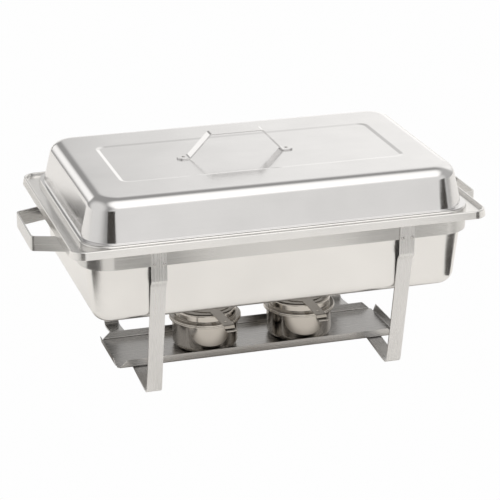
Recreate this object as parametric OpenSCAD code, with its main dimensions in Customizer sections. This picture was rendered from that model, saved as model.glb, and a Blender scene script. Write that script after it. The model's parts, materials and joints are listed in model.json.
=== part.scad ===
// Chafing dish food warmer: a full-size food pan in a water pan, on a stackable strap frame
// with two lidded burners on a loose tray.
// Origin at the bottom centre of the footprint. +X runs along the long side, +Y to the rear, +Z up.

/* [Lid and food pan] */
// Length of the lid and of the food pan's flange
gn_length = 530; // [528:1:532]
// Width of the lid and of the food pan's flange
gn_width = 325; // [323:1:326]
// Corner radius of the lid's edge and of the food pan's flange
gn_corner_r = 39; // [38:0.5:41]
// Corner radius of the lid's wall, measured out at the lid's edge
lid_corner_r = 50; // [46:1:54]
// Height of the lid without its handle
lid_h = 55.5; // [50:0.5:60]
// Depth of the food pan
food_depth = 65; // [55:1:75]
// Height of the food pan's turned-down edge
food_lip_h = 6.5; // [5:0.5:8]
// Thickness of the pressed sheet of the pans and the lid
sheet_t = 1; // [0.8:0.1:1.1]
// Half length of the recessed panel in the lid
panel_half_l = 197; // [150:1:205]
// Half width of the recessed panel in the lid
panel_half_w = 80; // [60:1:95]
// Depth of the recessed panel in the lid
panel_drop = 1.2; // [0.8:0.1:2]

/* [Lid handle] */
// Offset of the lid handle from the middle of the lid
lid_handle_x = -19.5; // [-30:0.5:30]
// Height of the lid handle above the recessed panel
lid_handle_h = 32.8; // [28:0.2:40]
// Width of the lid handle's strip
lid_handle_w = 16.5; // [14:0.5:20]

/* [Water pan] */
// Length over the water pan's rim
rim_length = 568; // [564:1:572]
// Width over the water pan's rim
rim_width = 340; // [339:1:344]
// Length of the water pan's body below the rim
body_length = 522; // [518:1:522]
// Width of the water pan's body below the rim
body_width = 312; // [310:1:312]
// Depth of the water pan below its rim flange
water_depth = 106.5; // [90:0.5:110]
// Amount by which each wall of the water pan leans in
water_draft = 11.5; // [11:0.5:13]

/* [Frame] */
// Height of the top edge of the band that carries the water pan
band_top = 220; // [216:1:240]
// Height of the band
band_h = 26; // [24:1:30]
// Thickness of the band and of the end handles
band_t = 2; // [1.5:0.5:2]
// Distance of each leg strap from the middle
leg_x = 169.3; // [150:1:180]
// Width of the leg straps
leg_w = 20.5; // [20:0.5:26]
// Thickness of the leg straps
leg_t = 2.5; // [2:0.5:2.5]
// Distance from the middle to the outer face of the end grips
grip_x = 313; // [305:1:325]
// Height of the end handles' strip
grip_h = 20.5; // [18:0.5:24]

/* [Burners] */
// Half length of the burner tray's floor
tray_half_l = 203; // [190:1:215]
// Half width of the burner tray's floor
tray_half_w = 52; // [50:1:56]
// Place of the left and the right burner along the tray
burner_x = [-64, 73.5]; // [-100:0.5:100]
// Outer radius of a burner cup
cup_r = 45.6; // [44:0.2:48]
// Height of a burner cup
cup_h = 43.2; // [35:0.2:50]
// Radius of the flame opening in a burner's cap
flame_r = 30; // [20:1:31]

/* [Hidden] */
$fn = 72;

half_t = sheet_t / 2;
gn_half_l = gn_length / 2;
gn_half_w = gn_width / 2;
// Each pressed profile ends this far short of the centre of its corner
corner_rest = 3;

food_top = band_top + sheet_t + food_lip_h;
lid_base = food_top;
panel_z = lid_base + lid_h - panel_drop;

// Food pan: inset of the body from the flange's edge, and lean of its walls
food_inset = 13;
food_draft = 8;

// Water pan: rim bead above the flange and lip below it
rim_corner_r = 21;
bead_h = 5.5;
bead_w = 5;
bead_lean = 1.8;
rim_lip_h = 4.5;
body_corner_r = 35;

// Band: the pan's body drops in with a little room
band_half_l = 266;
band_half_w = 160;
band_corner_r = 40;

// Rivets
rivet_r = 1.5;
head_r = 2.4;
head_h = 0.7;
leg_rivet_dx = 6.6;
leg_rivet_z = band_top - 23.7;
grip_rivet_dy = 75;
grip_rivet_dz = 4.5;

// End handles
grip_z = band_top - 29;
grip_half = 50;
grip_root = 67;
tab_end = 83;

// Tray on the arched feet
tray_z = 8.5;
tray_t = 1;
tray_flange_h = 10;
tray_top = tray_z + tray_t + tray_flange_h;
cup_z = tray_z + tray_t;

// Burner cap and damper
rim_r = 50;
neck_r = 43.5;
cap_z = cup_z + cup_h;
cap_step = 2.2;
cap_h = 14.3;
spigot_h = 6.7;
damper_z = cap_z + cap_h + 0.2;
damper_t = 1;
disc_r = 33;
lever_w = 15;
lever_turn = [4.5, 1.5];
pivot_y = 37;
pivot_clearance = 0.075;

// ---- Bent sheet helpers ----

function unit(v) = v / norm(v);
function left_of(v) = [-v.y, v.x];

// Arc of radius r that rounds the corner b of the path a, b, c
function bend(a, b, c, r, n) = let (
    u = unit(a - b),
    v = unit(c - b),
    turn = acos(max(-1, min(1, u * v))),
    p = b + u * r / tan(turn / 2),
    q = b + v * r / tan(turn / 2),
    centre = b + unit(u + v) * r / sin(turn / 2),
    a0 = atan2(p.y - centre.y, p.x - centre.x),
    a1 = atan2(q.y - centre.y, q.x - centre.x),
    sweep = ((a1 - a0 + 540) % 360) - 180)
    [for (i = [0:n]) centre + r * [cos(a0 + sweep * i / n), sin(a0 + sweep * i / n)]];

// Path with each inner corner rounded by its radius
function rounded_path(pts, radii, n = 6) = [
    pts[0],
    for (i = [1:len(pts) - 2]) each bend(pts[i - 1], pts[i], pts[i + 1], radii[i - 1], n),
    pts[len(pts) - 1]];

// Path shifted sideways by d, with mitred corners
function shifted(path, d) = [for (i = [0:len(path) - 1]) let (
    before = max(i, 1),
    after = min(i + 1, len(path) - 1),
    n0 = left_of(unit(path[before] - path[before - 1])),
    n1 = left_of(unit(path[after] - path[after - 1])),
    m = unit(n0 + n1)) path[i] + m * d / (m * n0)];

function reversed(list) = [for (i = [len(list) - 1:-1:0]) list[i]];

// Outline of a sheet of thickness t along a mid-line
function strip(path, t) = concat(shifted(path, t / 2), reversed(shifted(path, -t / 2)));

function mirrored(pts) = concat(pts, [for (p = reversed(pts)) [-p.x, p.y]]);

module rounded_rect(half_l, half_w, r) {
    square([2 * half_l, 2 * (half_w - r)], center = true);
    square([2 * (half_l - r), 2 * half_w], center = true);
    for (x = [-1, 1], y = [-1, 1])
        translate([x * (half_l - r), y * (half_w - r)])
            circle(r);
}

// Carries a profile round a rounded rectangle. In the profile, x = 0 is the outline,
// minus is inwards, and y is height.
module swept(half_l, half_w, r) {
    for (k = [0:3]) {
        a = (k % 2 == 0) ? half_l - r : half_w - r;
        b = (k % 2 == 0) ? half_w - r : half_l - r;
        rotate([0, 0, 90 * k])
            translate([a, b, 0]) {
                rotate_extrude(angle = 90)
                    translate([r, 0])
                        children();
                rotate([90, 0, 0])
                    linear_extrude(2 * b)
                        translate([r, 0])
                            children();
            }
    }
}

// Extrudes a profile drawn in Y and Z along X, centred on x
module along_x(x, width) {
    translate([x - width / 2, 0, 0])
        rotate([90, 0, 90])
            linear_extrude(width)
                children();
}

// Extrudes a profile drawn in X and Z along Y, centred on y = 0
module along_y(width) {
    translate([0, width / 2, 0])
        rotate([90, 0, 0])
            linear_extrude(width)
                children();
}

// Rivet along +Z that clamps sheets from z = 0 to z = grip, domed head on top
module rivet(grip) {
    tail_h = 1;
    dome = [for (a = [15:15:90]) [head_r * cos(a), grip + head_h * sin(a)]];
    rotate_extrude()
        polygon(concat([[0, -tail_h], [rivet_r + 1, -tail_h], [rivet_r + 1, 0], [rivet_r, 0],
            [rivet_r, grip], [head_r, grip]], dome));
}

// ---- Lid ----

// Distances in from the food pan's outline: the lid's edge, the end of its flat rim, its flat top
lid_edge_inset = 0.6;
lid_rim_inset = 3;
lid_top_inset = 35.5;
lid_wall = [[-lid_rim_inset, half_t], [-4.8, half_t], [-17.6, lid_h - half_t],
    [-lid_top_inset - 0.5, lid_h - half_t]];
lid_wall_bends = [1.5, 19];
panel_slope = 5;
panel_corner_r = 14;
lid_handle_root = 65.3;
lid_handle_tip = 81.8;
lid_handle_grip = 36.2;
lid_handle_t = 2;
lid_rivet_x = 72.5;

module at_lid_rivets() {
    for (side = [-1, 1])
        translate([lid_handle_x + side * lid_rivet_x, 0, panel_z - sheet_t])
            children();
}

module lid_shell() {
    rim_hole_inset = lid_rim_inset + 0.4;
    color("gainsboro")
        difference() {
            union() {
                translate([0, 0, lid_base])
                    linear_extrude(sheet_t)
                        difference() {
                            rounded_rect(gn_half_l - lid_edge_inset, gn_half_w - lid_edge_inset,
                                gn_corner_r - lid_edge_inset);
                            rounded_rect(gn_half_l - rim_hole_inset, gn_half_w - rim_hole_inset,
                                lid_corner_r - rim_hole_inset);
                        }
                translate([0, 0, lid_base])
                    swept(gn_half_l, gn_half_w, lid_corner_r)
                        polygon(strip(rounded_path(lid_wall, lid_wall_bends), sheet_t));
                translate([0, 0, lid_base + lid_h - sheet_t])
                    linear_extrude(sheet_t)
                        difference() {
                            rounded_rect(gn_half_l - lid_top_inset, gn_half_w - lid_top_inset,
                                lid_corner_r - lid_top_inset);
                            rounded_rect(panel_half_l, panel_half_w, panel_corner_r);
                        }
                translate([0, 0, panel_z - half_t])
                    swept(panel_half_l, panel_half_w, panel_corner_r)
                        polygon(strip([[1, panel_drop], [0, panel_drop], [-panel_slope, 0],
                            [-panel_slope - 2, 0]], sheet_t));
                translate([0, 0, panel_z - sheet_t])
                    linear_extrude(sheet_t)
                        rounded_rect(panel_half_l - panel_slope - 1, panel_half_w - panel_slope - 1,
                            panel_corner_r - panel_slope - 1);
            }
            at_lid_rivets()
                translate([0, 0, -1])
                    cylinder(h = sheet_t + 2, r = rivet_r);
        }
}

module lid_handle() {
    mid_z = lid_handle_t / 2;
    top_z = lid_handle_h - mid_z;
    half_path = [[-lid_handle_tip, mid_z], [-lid_handle_root, mid_z], [-lid_handle_grip, top_z]];
    round_r = lid_handle_w / 2;
    color("silver")
        difference() {
            translate([lid_handle_x, 0, panel_z])
                intersection() {
                    along_y(lid_handle_w)
                        polygon(strip(rounded_path(mirrored(half_path), [5, 5, 5, 5]), lid_handle_t));
                    translate([0, 0, -1])
                        linear_extrude(lid_handle_h + 2)
                            rounded_rect(lid_handle_tip, round_r, round_r - 0.05);
                }
            at_lid_rivets()
                translate([0, 0, -1])
                    cylinder(h = sheet_t + lid_handle_t + 2, r = rivet_r);
        }
}

module lid_handle_rivets() {
    color("silver")
        at_lid_rivets()
            rivet(sheet_t + lid_handle_t);
}

// ---- Pans ----

module food_pan() {
    inner = corner_rest - gn_corner_r;
    flat_inset = -inner - 0.5;
    path = [[-half_t, -food_lip_h], [-half_t, -half_t], [-food_inset - half_t, -half_t],
        [-food_inset - food_draft - half_t, half_t - food_depth], [inner, half_t - food_depth]];
    color("lightgray")
        translate([0, 0, food_top]) {
            swept(gn_half_l, gn_half_w, gn_corner_r)
                polygon(strip(rounded_path(path, [2.5, 4, 14]), sheet_t));
            translate([0, 0, -food_depth])
                linear_extrude(sheet_t)
                    rounded_rect(gn_half_l - flat_inset, gn_half_w - flat_inset,
                        gn_corner_r - flat_inset);
        }
}

module water_pan() {
    flange_inset = bead_w + 3;
    rim = [[-half_t, -rim_lip_h], [-half_t - bead_lean, bead_h - half_t],
        [half_t - bead_w, bead_h - half_t], [half_t - bead_w - bead_lean, half_t],
        [-flange_inset - 1.5, half_t]];
    wall_lead = 3;
    inner = corner_rest - body_corner_r;
    flat_inset = -inner - 0.5;
    wall = [[wall_lead, half_t], [-half_t, half_t], [-half_t - water_draft, half_t - water_depth],
        [inner, half_t - water_depth]];
    color("gainsboro")
        translate([0, 0, band_top]) {
            swept(rim_length / 2, rim_width / 2, rim_corner_r)
                polygon(strip(rounded_path(rim, [1.2, 1.2, 1]), sheet_t));
            linear_extrude(sheet_t)
                difference() {
                    rounded_rect(rim_length / 2 - flange_inset, rim_width / 2 - flange_inset,
                        rim_corner_r - flange_inset);
                    rounded_rect(body_length / 2 + wall_lead - 0.5, body_width / 2 + wall_lead - 0.5,
                        body_corner_r + wall_lead - 0.5);
                }
            swept(body_length / 2, body_width / 2, body_corner_r)
                polygon(strip(rounded_path(wall, [2, 19]), sheet_t));
            translate([0, 0, -water_depth])
                linear_extrude(sheet_t)
                    rounded_rect(body_length / 2 - flat_inset, body_width / 2 - flat_inset,
                        body_corner_r - flat_inset);
        }
}

// ---- Frame ----

// Places its children at each leg rivet, with +Z pointing out of the band's long sides
module at_leg_rivets() {
    for (x = [-leg_x, leg_x], dx = [-leg_rivet_dx, leg_rivet_dx], side = [-1, 1])
        translate([x + dx, side * (band_half_w - band_t), leg_rivet_z])
            rotate([-90 * side, 0, 0])
                children();
}

// Places its children at each handle rivet, with +Z pointing out of the band's ends
module at_grip_rivets() {
    for (side = [-1, 1], y = [-grip_rivet_dy, grip_rivet_dy], dz = [-grip_rivet_dz, grip_rivet_dz])
        translate([side * (band_half_l - band_t), y, grip_z + grip_h / 2 + dz])
            rotate([0, 90 * side, 0])
                children();
}

module bores(depth) {
    translate([0, 0, -1])
        cylinder(h = depth + 2, r = rivet_r);
}

module frame_ring() {
    color("silver")
        difference() {
            translate([0, 0, band_top - band_h])
                linear_extrude(band_h)
                    difference() {
                        rounded_rect(band_half_l, band_half_w, band_corner_r);
                        rounded_rect(band_half_l - band_t, band_half_w - band_t,
                            band_corner_r - band_t);
                    }
            at_leg_rivets()
                bores(band_t);
            at_grip_rivets()
                bores(band_t);
        }
}

// side is -1 at the left end and 1 at the right end
module end_handle(side) {
    mid_root = band_half_l + band_t / 2;
    mid_grip = grip_x - band_t / 2;
    half_path = [[mid_root, -tab_end], [mid_root, -grip_root], [mid_grip, -grip_half]];
    path = concat(half_path, [for (p = reversed(half_path)) [p.x, -p.y]]);
    color("silver")
        difference() {
            translate([0, 0, grip_z])
                linear_extrude(grip_h)
                    mirror([side < 0 ? 1 : 0, 0])
                        polygon(strip(rounded_path(path, [4, 6, 6, 4]), band_t));
            at_grip_rivets()
                bores(2 * band_t);
        }
}

module end_handle_rivets() {
    color("silver")
        at_grip_rivets()
            rivet(2 * band_t);
}

// Strap bent into a leg, a flat foot, a low arch under the tray, and back up again
module leg_strap(x) {
    top_y = band_half_w + leg_t / 2;
    half_path = [[-top_y, band_top - 3], [-top_y, band_top - 48], [-155.5, band_top - 55],
        [-122.5, leg_t / 2], [-108, leg_t / 2], [-50, tray_z - leg_t / 2]];
    half_bends = [6, 6, 8, 20, 20];
    path = mirrored(half_path);
    color("silver")
        difference() {
            along_x(x, leg_w)
                polygon(strip(rounded_path(path, concat(half_bends, reversed(half_bends))), leg_t));
            at_leg_rivets()
                bores(band_t + leg_t);
        }
}

module leg_rivets() {
    color("silver")
        at_leg_rivets()
            rivet(band_t + leg_t);
}

// ---- Burner tray ----

// Flange profile of the tray's edge at distance out, leaning outwards by lean
module tray_flange(out, lean) {
    mid_z = tray_z + tray_t / 2;
    root = 6;
    path = [[out - root, mid_z], [out, mid_z], [out + lean, tray_top]];
    polygon(strip(rounded_path(path, [1.5]), tray_t));
}

// Outline of a tray flange seen from its side, with its upper corners cut off over a length of cut
module tray_flange_side(half_l, cut) {
    cut_z = tray_z + tray_t / 2 + 1;
    polygon([[-half_l, 0], [half_l, 0], [half_l, cut_z], [half_l - cut, tray_top],
        [cut - half_l, tray_top], [-half_l, cut_z]]);
}

module burner_tray() {
    chamfer = 4;
    long_end = tray_half_l - 5;
    short_end = tray_half_w - 11;
    floor_x = tray_half_l - 2;
    floor_y = tray_half_w - tray_t / 2 - 1;
    end_x = tray_half_l - 1;
    long_y = tray_half_w - tray_t / 2;
    quarter = [[0, floor_y], [end_x - chamfer, floor_y], [floor_x, long_y - chamfer], [floor_x, 0]];
    right_half = concat(quarter, [for (p = reversed(quarter)) [p.x, -p.y]]);
    color("lightgray") {
        translate([0, 0, tray_z])
            linear_extrude(tray_t)
                for (side = [0, 1])
                    mirror([side, 0])
                        polygon(right_half);
        for (side = [0, 1])
            mirror([0, side])
                intersection() {
                    along_x(0, 2 * long_end)
                        tray_flange(long_y, 0);
                    along_y(3 * tray_half_w)
                        tray_flange_side(long_end, 10);
                }
        for (side = [0, 1])
            mirror([side, 0])
                intersection() {
                    along_y(2 * short_end)
                        tray_flange(end_x, 2.4);
                    along_x(0, 3 * tray_half_l)
                        tray_flange_side(short_end, 2);
                }
    }
}

// ---- Burners ----

module burner_cup(x) {
    wall_r = cup_r - half_t;
    edge_r = rim_r - half_t;
    path = [[0, half_t], [wall_r, half_t], [wall_r, cup_h - half_t], [edge_r, cup_h - half_t],
        [edge_r, cup_h - 2.5]];
    color("lightgray")
        translate([x, 0, cup_z])
            rotate_extrude()
                polygon(strip(rounded_path(path, [9, 1, 1]), sheet_t));
}

module burner_cap(x) {
    wall_r = neck_r - half_t;
    edge_r = rim_r - half_t;
    path = [[edge_r, 0], [edge_r, cap_step - half_t], [wall_r, cap_step - half_t],
        [wall_r, cap_h - half_t], [flame_r, cap_h - half_t]];
    color("lightgray")
        translate([x, 0, cap_z])
            difference() {
                union() {
                    rotate_extrude()
                        polygon(strip(rounded_path(path, [1, 1, 3]), sheet_t));
                    rotate_extrude()
                        translate([wall_r - half_t, -spigot_h])
                            square([sheet_t, spigot_h + cap_step - half_t]);
                }
                translate([0, pivot_y, cap_h / 2])
                    cylinder(h = cap_h, r = rivet_r);
            }
}

// Disc over the flame opening, with a long lever to the front and an ear on the pivot behind.
// turn is how far the lever stands off the front direction.
module damper(x, turn) {
    mid_z = damper_t / 2;
    hole_y = -73;
    tip_y = -98;
    ear_r = 6.5;
    tab_r = 2.5;
    tab_drop = 4;
    lever = [[-disc_r + 5, mid_z], [-86, mid_z], [-89, mid_z - tab_drop], [tip_y, mid_z - tab_drop]];
    color("silver")
        translate([x, pivot_y, damper_z])
            rotate([0, 0, turn])
                translate([0, -pivot_y, 0])
                    difference() {
                        union() {
                            linear_extrude(damper_t) {
                                circle(disc_r);
                                translate([0, pivot_y])
                                    circle(ear_r);
                                translate([-ear_r, disc_r - 8])
                                    square([2 * ear_r, pivot_y - disc_r + 8]);
                            }
                            intersection() {
                                along_x(0, lever_w)
                                    polygon(strip(rounded_path(lever, [1.5, 1.5]), damper_t));
                                translate([0, 0, -10])
                                    linear_extrude(20)
                                        rounded_rect(lever_w / 2, -tip_y, tab_r);
                            }
                        }
                        translate([0, pivot_y, -1])
                            cylinder(h = damper_t + 2, r = rivet_r + pivot_clearance);
                        translate([0, hole_y, -1])
                            cylinder(h = damper_t + 2, r = 2);
                    }
}

// Rivet fixed in the cap's top, on which the damper turns
module damper_pivot(x) {
    grip = sheet_t + damper_t + 0.4;
    color("silver")
        translate([x, pivot_y, cap_z + cap_h - sheet_t])
            rivet(grip);
}

lid_shell();
lid_handle();
lid_handle_rivets();
food_pan();
water_pan();
frame_ring();
end_handle(-1);  // end_handle_left
end_handle(1);  // end_handle_right
end_handle_rivets();
leg_strap(-leg_x);  // leg_strap_left
leg_strap(leg_x);  // leg_strap_right
leg_rivets();
burner_tray();
burner_cup(burner_x[0]);  // burner_cup_left
burner_cup(burner_x[1]);  // burner_cup_right
burner_cap(burner_x[0]);  // burner_cap_left
burner_cap(burner_x[1]);  // burner_cap_right
damper(burner_x[0], lever_turn[0]);  // damper_left
damper(burner_x[1], lever_turn[1]);  // damper_right
damper_pivot(burner_x[0]);  // damper_pivot_left
damper_pivot(burner_x[1]);  // damper_pivot_right
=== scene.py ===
"""Looks of a chafing dish food warmer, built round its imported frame.

Metres, +Z up, +X along the long side, the front towards -Y.
"""

import json
import math

import bmesh
import bpy
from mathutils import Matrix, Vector

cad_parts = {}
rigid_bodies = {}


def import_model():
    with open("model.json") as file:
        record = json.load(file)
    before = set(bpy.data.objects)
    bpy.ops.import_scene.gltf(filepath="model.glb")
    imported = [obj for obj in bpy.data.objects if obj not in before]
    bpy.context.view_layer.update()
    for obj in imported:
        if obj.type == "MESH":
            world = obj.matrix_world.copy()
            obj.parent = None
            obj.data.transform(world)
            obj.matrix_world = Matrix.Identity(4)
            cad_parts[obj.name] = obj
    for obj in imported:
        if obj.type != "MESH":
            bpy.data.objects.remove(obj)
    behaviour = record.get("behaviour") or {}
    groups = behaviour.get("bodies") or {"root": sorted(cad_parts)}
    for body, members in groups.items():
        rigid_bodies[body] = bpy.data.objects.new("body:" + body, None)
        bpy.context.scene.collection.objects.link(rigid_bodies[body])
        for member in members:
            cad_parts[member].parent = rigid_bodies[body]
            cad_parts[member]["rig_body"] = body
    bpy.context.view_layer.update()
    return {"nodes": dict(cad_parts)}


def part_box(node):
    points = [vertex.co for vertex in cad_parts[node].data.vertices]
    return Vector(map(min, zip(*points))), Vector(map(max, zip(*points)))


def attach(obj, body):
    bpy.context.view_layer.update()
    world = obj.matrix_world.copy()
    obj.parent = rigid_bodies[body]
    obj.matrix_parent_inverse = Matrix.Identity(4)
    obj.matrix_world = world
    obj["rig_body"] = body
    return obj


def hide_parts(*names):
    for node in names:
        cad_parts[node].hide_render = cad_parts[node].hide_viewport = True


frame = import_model()

MM = 0.001
SHEET = 1.0 * MM
HALF_SHEET = SHEET / 2
FOOD_PAN_CORNER_R = 39 * MM

# How finely bends, corners, sheet edges and turned parts are divided
ARC_STEPS = 14
SMALL_ARC_STEPS = 8
CORNER_STEPS = 20
END_STEPS = 6
LATHE_STEPS = 128
AXIS_R = 0.02 * MM  # a turned part stops this far short of its axis

# Edges sharper than this many degrees stay creased
MESH_CREASE = 35
CAD_CREASE = 32


# ---- Sheet profiles: 2-D paths of (x, z), as lists of Vectors ----


def left_of(v):
    """The 2-D vector turned a quarter to the left."""
    return Vector((-v.y, v.x))


def rounded_path(points, radii, steps=ARC_STEPS):
    """The path with each inner corner rounded by its radius."""
    points = [Vector(p) for p in points]
    path = [points[0]]
    for a, b, c, r in zip(points, points[1:], points[2:], radii):
        u = (a - b).normalized()
        v = (c - b).normalized()
        turn = u.angle(v)
        first = b + u * r / math.tan(turn / 2)
        last = b + v * r / math.tan(turn / 2)
        centre = b + (u + v).normalized() * r / math.sin(turn / 2)
        start = math.atan2(*reversed(first - centre))
        sweep = math.atan2(*reversed(last - centre)) - start
        sweep = (sweep + 3 * math.pi) % (2 * math.pi) - math.pi
        for i in range(steps + 1):
            angle = start + sweep * i / steps
            path.append(centre + r * Vector((math.cos(angle), math.sin(angle))))
    return path + [points[-1]]


def shifted(path, distance):
    """The path moved sideways, with mitred corners."""
    moved = []
    for i, p in enumerate(path):
        before = max(i, 1)
        after = min(i + 1, len(path) - 1)
        n0 = left_of((path[before] - path[before - 1]).normalized())
        n1 = left_of((path[after] - path[after - 1]).normalized())
        mitre = (n0 + n1).normalized()
        moved.append(p + mitre * distance / mitre.dot(n0))
    return moved


def sheet_section(path):
    """Both faces of a bent sheet.

    It runs from the path's far end along one face, round its first end, and back.
    """
    out = (path[0] - path[1]).normalized()
    side = left_of((path[1] - path[0]).normalized())
    end = []
    for i in range(1, END_STEPS):
        angle = math.pi * i / END_STEPS
        end.append(path[0] + HALF_SHEET * (side * math.cos(angle) + out * math.sin(angle)))
    return shifted(path, HALF_SHEET)[::-1] + end + shifted(path, -HALF_SHEET)


# ---- Meshes ----


def shade(name, mesh, crease):
    """An object with smooth shading that keeps flats flat and creases sharp."""
    mesh.polygons.foreach_set("use_smooth", [True] * len(mesh.polygons))
    mesh.set_sharp_from_angle(angle=math.radians(crease))
    obj = bpy.data.objects.new(name, mesh)
    bpy.context.scene.collection.objects.link(obj)
    weighted = obj.modifiers.new("flats", "WEIGHTED_NORMAL")
    weighted.keep_sharp = True
    weighted.weight = 80
    return obj


def add_mesh(name, vertices, faces):
    """A shaded mesh object with outward normals."""
    mesh = bpy.data.meshes.new(name)
    mesh.from_pydata(vertices, [], faces)
    work = bmesh.new()
    work.from_mesh(mesh)
    bmesh.ops.remove_doubles(work, verts=work.verts, dist=1e-7)
    bmesh.ops.recalc_face_normals(work, faces=work.faces)
    work.to_mesh(mesh)
    work.free()
    return shade(name, mesh, MESH_CREASE)


def quads(row_count, count):
    """The faces between closed rows of count vertices each."""
    faces = []
    for j in range(row_count - 1):
        for i in range(count):
            a = j * count + i
            b = j * count + (i + 1) % count
            faces.append((a, b, b + count, a + count))
    return faces


def ring(half_l, half_w, r, z):
    """Points round a rounded rectangle at height z."""
    points = []
    centres = [(1, 1), (-1, 1), (-1, -1), (1, -1)]
    for k, (sx, sy) in enumerate(centres):
        for i in range(CORNER_STEPS + 1):
            angle = math.pi / 2 * (k + i / CORNER_STEPS)
            x = sx * (half_l - r) + r * math.cos(angle)
            y = sy * (half_w - r) + r * math.sin(angle)
            points.append((x, y, z))
    return points


def rings(section, half_l, half_w, r, z):
    """The section swept round a rounded rectangle. Its x counts outwards, its y upwards from z."""
    return [ring(half_l + p.x, half_w + p.x, r + p.x, z + p.y) for p in section]


def skinned(name, rows):
    """A surface through rings of equal length, with flat faces over its first and last ring."""
    count = len(rows[0])
    vertices = [p for row in rows for p in row]
    faces = quads(len(rows), count)
    faces.append(tuple(range(count)))
    faces.append(tuple(range((len(rows) - 1) * count, len(rows) * count)))
    return add_mesh(name, vertices, faces)


def turned(section, centre):
    """Vertices and faces of a section of (radius, height) turned about a vertical axis."""
    vertices = []
    for p in section:
        r = max(p.x, AXIS_R)
        for i in range(LATHE_STEPS):
            angle = 2 * math.pi * i / LATHE_STEPS
            x = centre.x + r * math.cos(angle)
            y = centre.y + r * math.sin(angle)
            vertices.append((x, y, centre.z + p.y))
    return vertices, quads(len(section), LATHE_STEPS)


def plan_centre(low, high, z):
    """The middle of a box in plan, at height z."""
    centre = (low + high) / 2
    centre.z = z
    return centre


def refined(node, edge_r):
    """A copy of a CAD node with merged flats, smooth bends and softly rounded edges."""
    mesh = frame["nodes"][node].data.copy()
    mesh.materials.clear()
    work = bmesh.new()
    work.from_mesh(mesh)
    bmesh.ops.remove_doubles(work, verts=work.verts, dist=1e-6)
    flat = math.radians(1)
    bmesh.ops.dissolve_limit(work, angle_limit=flat, verts=work.verts, edges=work.edges)
    bmesh.ops.recalc_face_normals(work, faces=work.faces)
    work.to_mesh(mesh)
    work.free()
    obj = shade(node + "_skin", mesh, CAD_CREASE)
    bevel = obj.modifiers.new("edges", "BEVEL")
    bevel.width = edge_r
    bevel.segments = 2
    bevel.limit_method = "ANGLE"
    bevel.angle_limit = math.radians(CAD_CREASE)
    bevel.harden_normals = True
    obj.modifiers.move(len(obj.modifiers) - 1, 0)
    return obj


def stand_for(obj, node, material):
    """Puts the piece on the node's body in the node's place."""
    obj.data.materials.append(material)
    body = frame["nodes"][node]["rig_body"]
    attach(obj, body)
    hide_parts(node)


# ---- Materials ----

NOISE_MIDDLE = (0.3, 0.7)  # the part of a noise's range that carries nearly all of it
EDGE_POINTINESS = (0.52, 0.62)
WORN_EDGE = (0.93, 0.92, 0.9, 1)
EDGE_WEAR = 0.25
CLOUDS = 0.03
SMUDGE_DENSITY = 14.0
SCRATCH_DEPTH = 0.004 * MM
# Painted shade on faces that point up: they are darkened towards a near-black colour, standing in
# for the dark pan underside that they face and reflect
TOP_SHADE_FROM, TOP_SHADE_FULL = 0.4, 0.95  # how far a face points up, from 0 to 1
TOP_SHADE_COLOR = (0.02, 0.018, 0.016, 1)


def new_nodes(tree):
    """Two helpers for a node tree: one adds a node and sets its properties, one links sockets."""

    def add(kind, **values):
        node = tree.nodes.new(kind)
        for key, value in values.items():
            setattr(node, key, value)
        return node

    return add, tree.links.new


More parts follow.
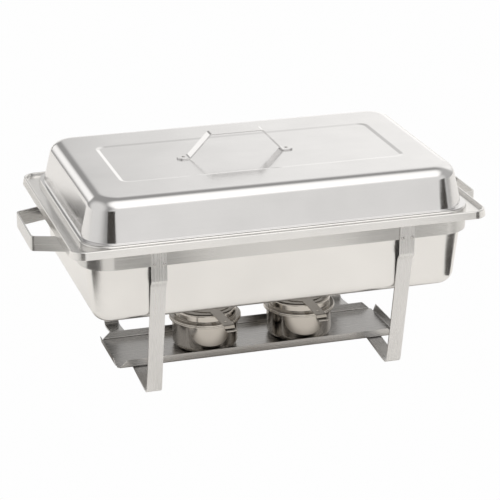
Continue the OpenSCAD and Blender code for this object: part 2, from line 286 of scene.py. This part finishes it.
def steel(name, color, roughness, grain, grain_depth=0.25, anisotropic=0.0, top_shade=0.0):
    """Stainless steel. grain holds how many scratches there are per metre along X, Y and Z.

    The last argument paints shade on the faces that point up. It darkens them towards a near-black
    colour, standing in for the dark pan underside that they face and reflect.
    """
    material = bpy.data.materials.new(name)
    material.use_nodes = True
    shader = material.node_tree.nodes["Principled BSDF"]
    shader.inputs["Metallic"].default_value = 1.0
    shader.inputs["Anisotropic"].default_value = anisotropic
    add, wire = new_nodes(material.node_tree)
    place = add("ShaderNodeTexCoord").outputs["Object"]

    def noise(stretch, density, detail):
        mapping = add("ShaderNodeMapping")
        mapping.inputs["Scale"].default_value = stretch
        wire(place, mapping.inputs["Vector"])
        texture = add("ShaderNodeTexNoise")
        texture.inputs["Scale"].default_value = density
        texture.inputs["Detail"].default_value = detail
        wire(mapping.outputs["Vector"], texture.inputs["Vector"])
        return texture.outputs["Fac"]

    def remap(value, from_range, low, high, **settings):
        out = add("ShaderNodeMapRange", **settings)
        out.inputs["From Min"].default_value = from_range[0]
        out.inputs["From Max"].default_value = from_range[1]
        out.inputs["To Min"].default_value = low
        out.inputs["To Max"].default_value = high
        wire(value, out.inputs["Value"])
        return out.outputs["Result"]

    def combine(operation, a, b):
        out = add("ShaderNodeMath", operation=operation)
        wire(a, out.inputs[0])
        wire(b, out.inputs[1])
        return out.outputs[0]

    def blend(factor, a, b):
        """Mixes a, a colour or a socket, with the colour b."""
        out = add("ShaderNodeMix", data_type="RGBA")
        if isinstance(a, bpy.types.NodeSocket):
            wire(a, out.inputs["A"])
        else:
            out.inputs["A"].default_value = a
        out.inputs["B"].default_value = b
        wire(factor, out.inputs["Factor"])
        return out.outputs["Result"]

    scratches = noise(grain, 1.0, 3.0)
    fine_scratches = noise([g * 4 for g in grain], 1.0, 2.0)
    smudges = noise((1, 1, 1), SMUDGE_DENSITY, 3.0)

    scratched = remap(scratches, NOISE_MIDDLE, roughness * 0.85, roughness * 1.15)
    smudged = remap(smudges, NOISE_MIDDLE, -0.015, 0.02)
    wire(combine("ADD", scratched, smudged), shader.inputs["Roughness"])

    dark = [c * (1 - CLOUDS) for c in color] + [1]
    light = [min(1, c * (1 + CLOUDS)) for c in color] + [1]
    streaks = combine("MULTIPLY", smudges, remap(scratches, NOISE_MIDDLE, 0.9, 1.1))
    clouded = blend(remap(streaks, NOISE_MIDDLE, 0, 1), dark, light)
    pointed = add("ShaderNodeNewGeometry").outputs["Pointiness"]
    worn = blend(remap(pointed, EDGE_POINTINESS, 0, EDGE_WEAR), clouded, WORN_EDGE)
    # Painted shade: faces that point up are darkened towards a near-black colour
    normal = add("ShaderNodeSeparateXYZ")
    wire(add("ShaderNodeNewGeometry").outputs["Normal"], normal.inputs[0])
    upward = remap(
        normal.outputs["Z"], (TOP_SHADE_FROM, TOP_SHADE_FULL), 0, top_shade, interpolation_type="SMOOTHSTEP")
    wire(blend(upward, worn, TOP_SHADE_COLOR), shader.inputs["Base Color"])

    bump = add("ShaderNodeBump")
    bump.inputs["Strength"].default_value = grain_depth
    bump.inputs["Distance"].default_value = SCRATCH_DEPTH
    wire(combine("ADD", scratches, fine_scratches), bump.inputs["Height"])
    wire(bump.outputs["Normal"], shader.inputs["Normal"])
    return material


# Scratches per metre along X, Y and Z
LENGTHWISE = (5, 900, 900)
UPRIGHT = (1400, 8, 8)
ROUND_THE_WALLS = (5, 5, 1000)
ROUND_THE_BAND = (6, 6, 1200)
TURNED = (40, 40, 1500)
EVEN = (200, 200, 200)

lid_steel = steel("lid_steel", (0.78, 0.775, 0.775), 0.14, LENGTHWISE)
pan_steel = steel("pan_steel", (0.82, 0.81, 0.795), 0.22, ROUND_THE_WALLS)
frame_steel = steel("frame_steel", (0.64, 0.635, 0.625), 0.24, ROUND_THE_BAND)
# The leg, tray and burner steels carry painted shade on the faces that point up
leg_steel = steel("leg_steel", (0.69, 0.685, 0.68), 0.27, UPRIGHT, top_shade=0.55)
tray_steel = steel(
    "tray_steel", (0.68, 0.67, 0.66), 0.27, LENGTHWISE, grain_depth=0.12, top_shade=0.52)
burner_steel = steel(
    "burner_steel", (0.60, 0.565, 0.52), 0.10, TURNED, anisotropic=0.3, top_shade=0.6)
rivet_steel = steel("rivet_steel", (0.5, 0.49, 0.48), 0.2, EVEN)


# ---- Lid and pans ----


def build_lid():
    """One pressed sheet: a narrow flat rim, a sloping wall and a top with a shallow sunk panel."""
    low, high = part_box("lid_shell")
    height = high.z - low.z
    edge_inset = 0.6 * MM
    foot_inset = 4.8 * MM
    shoulder_inset = 17.6 * MM
    top_inset = 36 * MM
    foot_bend, shoulder_bend = 1.5 * MM, 19 * MM
    wall = rounded_path(
        [(-edge_inset - HALF_SHEET, HALF_SHEET),
         (-foot_inset, HALF_SHEET),
         (-shoulder_inset, height - HALF_SHEET),
         (-top_inset, height - HALF_SHEET)],
        [foot_bend, shoulder_bend])

    rim_w = 1.2 * MM
    blend_w = 1.8 * MM
    wall_corner_r = 50 * MM

    def corner_r(inset):
        """The flat rim's edge follows the food pan's corner; the wall's corner is rounder."""
        part = min(1, max(0, (inset - rim_w) / blend_w))
        return FOOD_PAN_CORNER_R + (wall_corner_r - FOOD_PAN_CORNER_R) * part - inset

    half_l = high.x + edge_inset
    half_w = high.y + edge_inset
    wall_rows = []
    for p in sheet_section(wall):
        wall_rows.append(ring(half_l + p.x, half_w + p.x, corner_r(-p.x), low.z + p.y))

    panel_l, panel_w, panel_r = 197 * MM, 80 * MM, 14 * MM
    drop = 1.2 * MM
    slope = 5 * MM
    flat = 3 * MM
    panel_bend = 4 * MM
    panel = rounded_path(
        [(-slope - flat, -drop), (-slope, -drop), (0, 0), (flat, 0)],
        [panel_bend, panel_bend], SMALL_ARC_STEPS)
    inside = rings(panel, panel_l, panel_w, panel_r, high.z - SHEET)
    outside = rings(panel, panel_l, panel_w, panel_r, high.z)
    lid = skinned("lid_shell_skin", inside + wall_rows + outside[::-1])
    stand_for(lid, "lid_shell", lid_steel)


def build_food_pan():
    """A deep pan with a rim that turns down at its edge."""
    low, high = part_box("food_pan")
    lip_h = 6.5 * MM
    rim_w = 13 * MM
    floor_inset = 21 * MM
    floor_edge = 36 * MM
    bends = [2.5 * MM, 4 * MM, 14 * MM]
    floor_z = HALF_SHEET - (high.z - low.z)
    path = rounded_path(
        [(-HALF_SHEET, -lip_h),
         (-HALF_SHEET, -HALF_SHEET),
         (-rim_w - HALF_SHEET, -HALF_SHEET),
         (-floor_inset - HALF_SHEET, floor_z),
         (-floor_edge, floor_z)],
        bends)
    rows = rings(sheet_section(path), high.x, high.y, FOOD_PAN_CORNER_R, high.z)
    stand_for(skinned("food_pan_skin", rows), "food_pan", pan_steel)


def build_water_pan():
    """A deep pan with a raised bead round its rim, whose corners are tighter than the body's."""
    low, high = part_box("water_pan")
    bead_h, bead_w = 5.5 * MM, 5 * MM
    bead_lean = 1.8 * MM
    bead_drop = 4.5 * MM
    flange_w = 9.5 * MM
    rim_corner_r = 21 * MM
    flange_z = high.z - bead_h
    rim = rounded_path(
        [(-HALF_SHEET, -bead_drop),
         (-HALF_SHEET - bead_lean, bead_h - HALF_SHEET),
         (HALF_SHEET - bead_w, bead_h - HALF_SHEET),
         (HALF_SHEET - bead_w - bead_lean, HALF_SHEET),
         (-flange_w, HALF_SHEET)],
        [1.2 * MM, 1.2 * MM, 1.0 * MM], SMALL_ARC_STEPS)
    rim_rows = rings(sheet_section(rim), high.x, high.y, rim_corner_r, flange_z)

    body_l, body_w, body_r = 261 * MM, 156 * MM, 35 * MM
    overlap = 3 * MM
    floor_inset = 11.5 * MM
    floor_edge = 32 * MM
    floor_z = HALF_SHEET - (flange_z - low.z)
    wall = rounded_path(
        [(overlap, HALF_SHEET),
         (-HALF_SHEET, HALF_SHEET),
         (-HALF_SHEET - floor_inset, floor_z),
         (-floor_edge, floor_z)],
        [2 * MM, 19 * MM])
    outside = rings(shifted(wall, HALF_SHEET), body_l, body_w, body_r, flange_z)
    inside = rings(shifted(wall, -HALF_SHEET), body_l, body_w, body_r, flange_z)
    pan = skinned("water_pan_skin", outside[::-1] + rim_rows + inside)
    stand_for(pan, "water_pan", pan_steel)


# ---- Burners ----


def build_burner(side):
    """A cup with a rolled rim, and a push-fit cap whose spigot sits inside it."""
    cup = "burner_cup_" + side
    cap = "burner_cap_" + side
    low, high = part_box(cup)
    rim_r = (high.x - low.x) / 2 - HALF_SHEET
    height = high.z - low.z
    cup_r = 45.1 * MM
    rim_drop = 2.5 * MM
    path = rounded_path(
        [(rim_r, height - rim_drop),
         (rim_r, height - HALF_SHEET),
         (cup_r, height - HALF_SHEET),
         (cup_r, HALF_SHEET),
         (0, HALF_SHEET)],
        [1 * MM, 1 * MM, 9 * MM], SMALL_ARC_STEPS)
    vertices, faces = turned(sheet_section(path), plan_centre(low, high, low.z))
    stand_for(add_mesh(cup + "_skin", vertices, faces), cup, burner_steel)

    low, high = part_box(cap)
    spigot_h = 6.7 * MM
    spigot_in, spigot_out = 42.6 * MM, 43.4 * MM
    cap_h = high.z - low.z - spigot_h
    cap_r = 43 * MM
    mouth_r = 30 * MM
    step = 2.2 * MM
    centre = plan_centre(low, high, low.z + spigot_h)
    path = rounded_path(
        [(rim_r, 0),
         (rim_r, step - HALF_SHEET),
         (cap_r, step - HALF_SHEET),
         (cap_r, cap_h - HALF_SHEET),
         (mouth_r, cap_h - HALF_SHEET)],
        [1 * MM, 1 * MM, 3 * MM], SMALL_ARC_STEPS)
    section = sheet_section(path)
    vertices, faces = turned(section + [section[0]], centre)
    corners = [
        (spigot_in, -spigot_h), (spigot_out, -spigot_h), (spigot_out, step), (spigot_in, step)]
    spigot = [Vector(corner) for corner in corners + corners[:1]]
    spigot_vertices, spigot_faces = turned(spigot, centre)
    start = len(vertices)
    vertices += spigot_vertices
    faces += [tuple(i + start for i in face) for face in spigot_faces]
    stand_for(add_mesh(cap + "_skin", vertices, faces), cap, burner_steel)


# ---- Frame, handles, straps, tray, dampers and rivets ----


def build_metalwork():
    """Pieces whose CAD shape is right: softened edges and their own finish."""
    rivet_edge = 0.15 * MM
    pieces = [
        ("lid_handle", 0.35 * MM, lid_steel, "lid_steel"),
        ("lid_handle_rivets", rivet_edge, rivet_steel, "rivet_steel"),
        ("frame_ring", 0.3 * MM, frame_steel, "frame_steel"),
        ("end_handle_left", 0.4 * MM, frame_steel, "frame_steel"),
        ("end_handle_right", 0.4 * MM, frame_steel, "frame_steel"),
        ("end_handle_rivets", rivet_edge, rivet_steel, "rivet_steel"),
        ("leg_strap_left", 0.4 * MM, leg_steel, "frame_steel"),
        ("leg_strap_right", 0.4 * MM, leg_steel, "frame_steel"),
        ("leg_rivets", rivet_edge, rivet_steel, "rivet_steel"),
        ("burner_tray", 0.2 * MM, tray_steel, "tray_steel"),
    ]
    for side in ("left", "right"):
        pieces.append(("damper_" + side, 0.25 * MM, burner_steel, "burner_steel"))
        pieces.append(("damper_pivot_" + side, rivet_edge, rivet_steel, "rivet_steel"))
    for node, edge_r, material, slot in pieces:
        stand_for(refined(node, edge_r), node, material)


# ---- Studio ----

FLOOR_SIZE = 14
FLOOR_DROP = 0.5 * MM
FLOOR_SEEN = 0.99  # brightness of the floor where the camera sees it
FLOOR_BOUNCE = 0.22  # light that the floor adds to what it reflects
PAPER = (0.98, 0.965, 0.94, 1)
PAPER_IN_SHADE = (0.25, 0.23, 0.21, 1)
SHADE_HALF_SIZE = (0.30, 0.10)  # the darker oval under the object
SHADE_FROM, SHADE_TO = 0.7, 1.3  # where it ends, in half sizes

# Dark cards, seen only in reflections, that give polished edges their dark lines: the low and
# high corner of each
FLAG_COLOR = (0.05, 0.045, 0.04, 1)
FLAGS = {
    "flag_right": ((0.80, -1.30, 0.0), (0.81, -0.55, 0.36)),
    "flag_right_floor": ((0.30, -0.80, 0.0), (0.44, -0.60, 0.003)),
    "flag_corner_floor": ((0.40, -0.40, 0.0), (0.66, -0.09, 0.003)),
    "flag_front": ((-1.05, -1.21, 0.14), (-0.40, -1.2, 0.54)),
    "flag_front_floor": ((-0.13, -0.80, 0.0), (0.02, -0.57, 0.003)),
    "flag_left_floor": ((-0.95, -0.60, 0.0), (-0.52, -0.05, 0.003)),
    "flag_back_floor": ((-0.71, 0.66, 0.0), (-0.57, 1.10, 0.003)),
}

# Broad light banks: azimuth and elevation like the camera's, in degrees, then the radius of the
# even middle, the radius where it has faded out, and how much it adds to the surround
SURROUND = 0.36
BANKS = [
    (16, 63, 12, 39, 1.0),
    (16, 4, 22, 55, 0.5),
    (139, 24, 16, 36, 0.69),
    (168, -6, 10, 25, 0.6),
    (201, 15, 4, 15, 0.85),
    (-90, 20, 20, 50, 0.45),
    (90, 25, 15, 45, 0.15),
]
WARM_WHITE = (1, 0.985, 0.965, 1)
BACKDROP = (0.99, 0.99, 0.99, 1)


def towards(azimuth, elevation):
    """Unit vector from the object towards an azimuth and elevation in degrees."""
    azimuth = math.radians(azimuth)
    elevation = math.radians(elevation)
    return Vector((
        math.sin(azimuth) * math.cos(elevation),
        -math.cos(azimuth) * math.cos(elevation),
        math.sin(elevation)))


def build_floor():
    """White paper that lights the object from below, darker in the shade under it."""
    bpy.ops.mesh.primitive_plane_add(size=FLOOR_SIZE, location=(0, 0, -FLOOR_DROP))
    floor = bpy.context.object
    floor.name = "studio_floor"
    material = bpy.data.materials.new("studio_floor")
    material.use_nodes = True
    tree = material.node_tree
    tree.nodes.clear()
    add, wire = new_nodes(tree)
    spot = add("ShaderNodeMapping")
    spot.inputs["Scale"].default_value = [1 / size for size in SHADE_HALF_SIZE] + [1]
    wire(add("ShaderNodeTexCoord").outputs["Object"], spot.inputs["Vector"])
    away = add("ShaderNodeVectorMath", operation="LENGTH")
    wire(spot.outputs["Vector"], away.inputs[0])
    clear = add("ShaderNodeMapRange", interpolation_type="SMOOTHSTEP")
    clear.inputs["From Min"].default_value = SHADE_FROM
    clear.inputs["From Max"].default_value = SHADE_TO
    wire(away.outputs["Value"], clear.inputs["Value"])
    tone = add("ShaderNodeMix", data_type="RGBA")
    tone.inputs["A"].default_value = PAPER_IN_SHADE
    tone.inputs["B"].default_value = PAPER
    wire(clear.outputs["Result"], tone.inputs["Factor"])
    paper = add("ShaderNodeBsdfDiffuse")
    wire(tone.outputs["Result"], paper.inputs["Color"])
    bounce = add("ShaderNodeEmission")
    bounce.inputs["Strength"].default_value = FLOOR_BOUNCE
    wire(tone.outputs["Result"], bounce.inputs["Color"])
    lit = add("ShaderNodeAddShader")
    wire(paper.outputs[0], lit.inputs[0])
    wire(bounce.outputs[0], lit.inputs[1])
    seen = add("ShaderNodeEmission")
    seen.inputs["Strength"].default_value = FLOOR_SEEN
    choose = add("ShaderNodeMixShader")
    wire(add("ShaderNodeLightPath").outputs["Is Camera Ray"], choose.inputs[0])
    wire(lit.outputs[0], choose.inputs[1])
    wire(seen.outputs[0], choose.inputs[2])
    wire(choose.outputs[0], add("ShaderNodeOutputMaterial").inputs["Surface"])
    floor.data.materials.append(material)


def build_flags():
    """The dark cards, hidden from the camera and casting no shade."""
    material = bpy.data.materials.new("studio_flag")
    material.use_nodes = True
    shader = material.node_tree.nodes["Principled BSDF"]
    shader.inputs["Base Color"].default_value = FLAG_COLOR
    shader.inputs["Roughness"].default_value = 1
    for name, (low, high) in FLAGS.items():
        bpy.ops.mesh.primitive_cube_add(size=1, location=(Vector(low) + Vector(high)) / 2)
        flag = bpy.context.object
        flag.name = name
        flag.scale = Vector(high) - Vector(low)
        flag.data.materials.append(material)
        flag.visible_camera = False
        flag.visible_shadow = False
        flag.visible_diffuse = False


def build_world():
    """A soft studio: an even surround with a few broad, smooth-edged light banks."""
    world = bpy.data.worlds.new("studio")
    bpy.context.scene.world = world
    world.use_nodes = True
    tree = world.node_tree
    tree.nodes.clear()
    add, wire = new_nodes(tree)
    direction = add("ShaderNodeTexCoord").outputs["Generated"]
    level = None
    for azimuth, elevation, inner, outer, strength in BANKS:
        aim = add("ShaderNodeVectorMath", operation="DOT_PRODUCT")
        aim.inputs[1].default_value = towards(azimuth, elevation)
        wire(direction, aim.inputs[0])
        fade = add("ShaderNodeMapRange", interpolation_type="SMOOTHSTEP")
        fade.inputs["From Min"].default_value = math.cos(math.radians(outer))
        fade.inputs["From Max"].default_value = math.cos(math.radians(inner))
        fade.inputs["To Max"].default_value = strength
        wire(aim.outputs["Value"], fade.inputs["Value"])
        total = add("ShaderNodeMath", operation="ADD")
        if level:
            wire(level, total.inputs[0])
        else:
            total.inputs[0].default_value = SURROUND
        wire(fade.outputs["Result"], total.inputs[1])
        level = total.outputs[0]
    studio = add("ShaderNodeBackground")
    studio.inputs["Color"].default_value = WARM_WHITE
    wire(level, studio.inputs["Strength"])
    backdrop = add("ShaderNodeBackground")
    backdrop.inputs["Color"].default_value = BACKDROP
    choose = add("ShaderNodeMixShader")
    wire(add("ShaderNodeLightPath").outputs["Is Camera Ray"], choose.inputs[0])
    wire(studio.outputs[0], choose.inputs[1])
    wire(backdrop.outputs[0], choose.inputs[2])
    wire(choose.outputs[0], add("ShaderNodeOutputWorld").inputs["Surface"])


def build_camera():
    """A long lens from the front left, a little above."""
    distance = 2.7
    target = Vector((1.6 * MM, 0, 139.5 * MM))
    out = towards(-17.15, 20.56)
    camera = bpy.data.objects.new("camera", bpy.data.cameras.new("camera"))
    camera.data.lens = 140.6
    camera.data.clip_end = 50
    camera.location = target + out * distance
    camera.rotation_euler = (-out).to_track_quat("-Z", "Y").to_euler()
    bpy.context.scene.collection.objects.link(camera)
    bpy.context.scene.camera = camera


build_camera()
build_world()
build_floor()
build_flags()
build_lid()
build_food_pan()
build_water_pan()
for burner_side in ("left", "right"):
    build_burner(burner_side)
build_metalwork()
bpy.context.scene.view_settings.view_transform = "Standard"
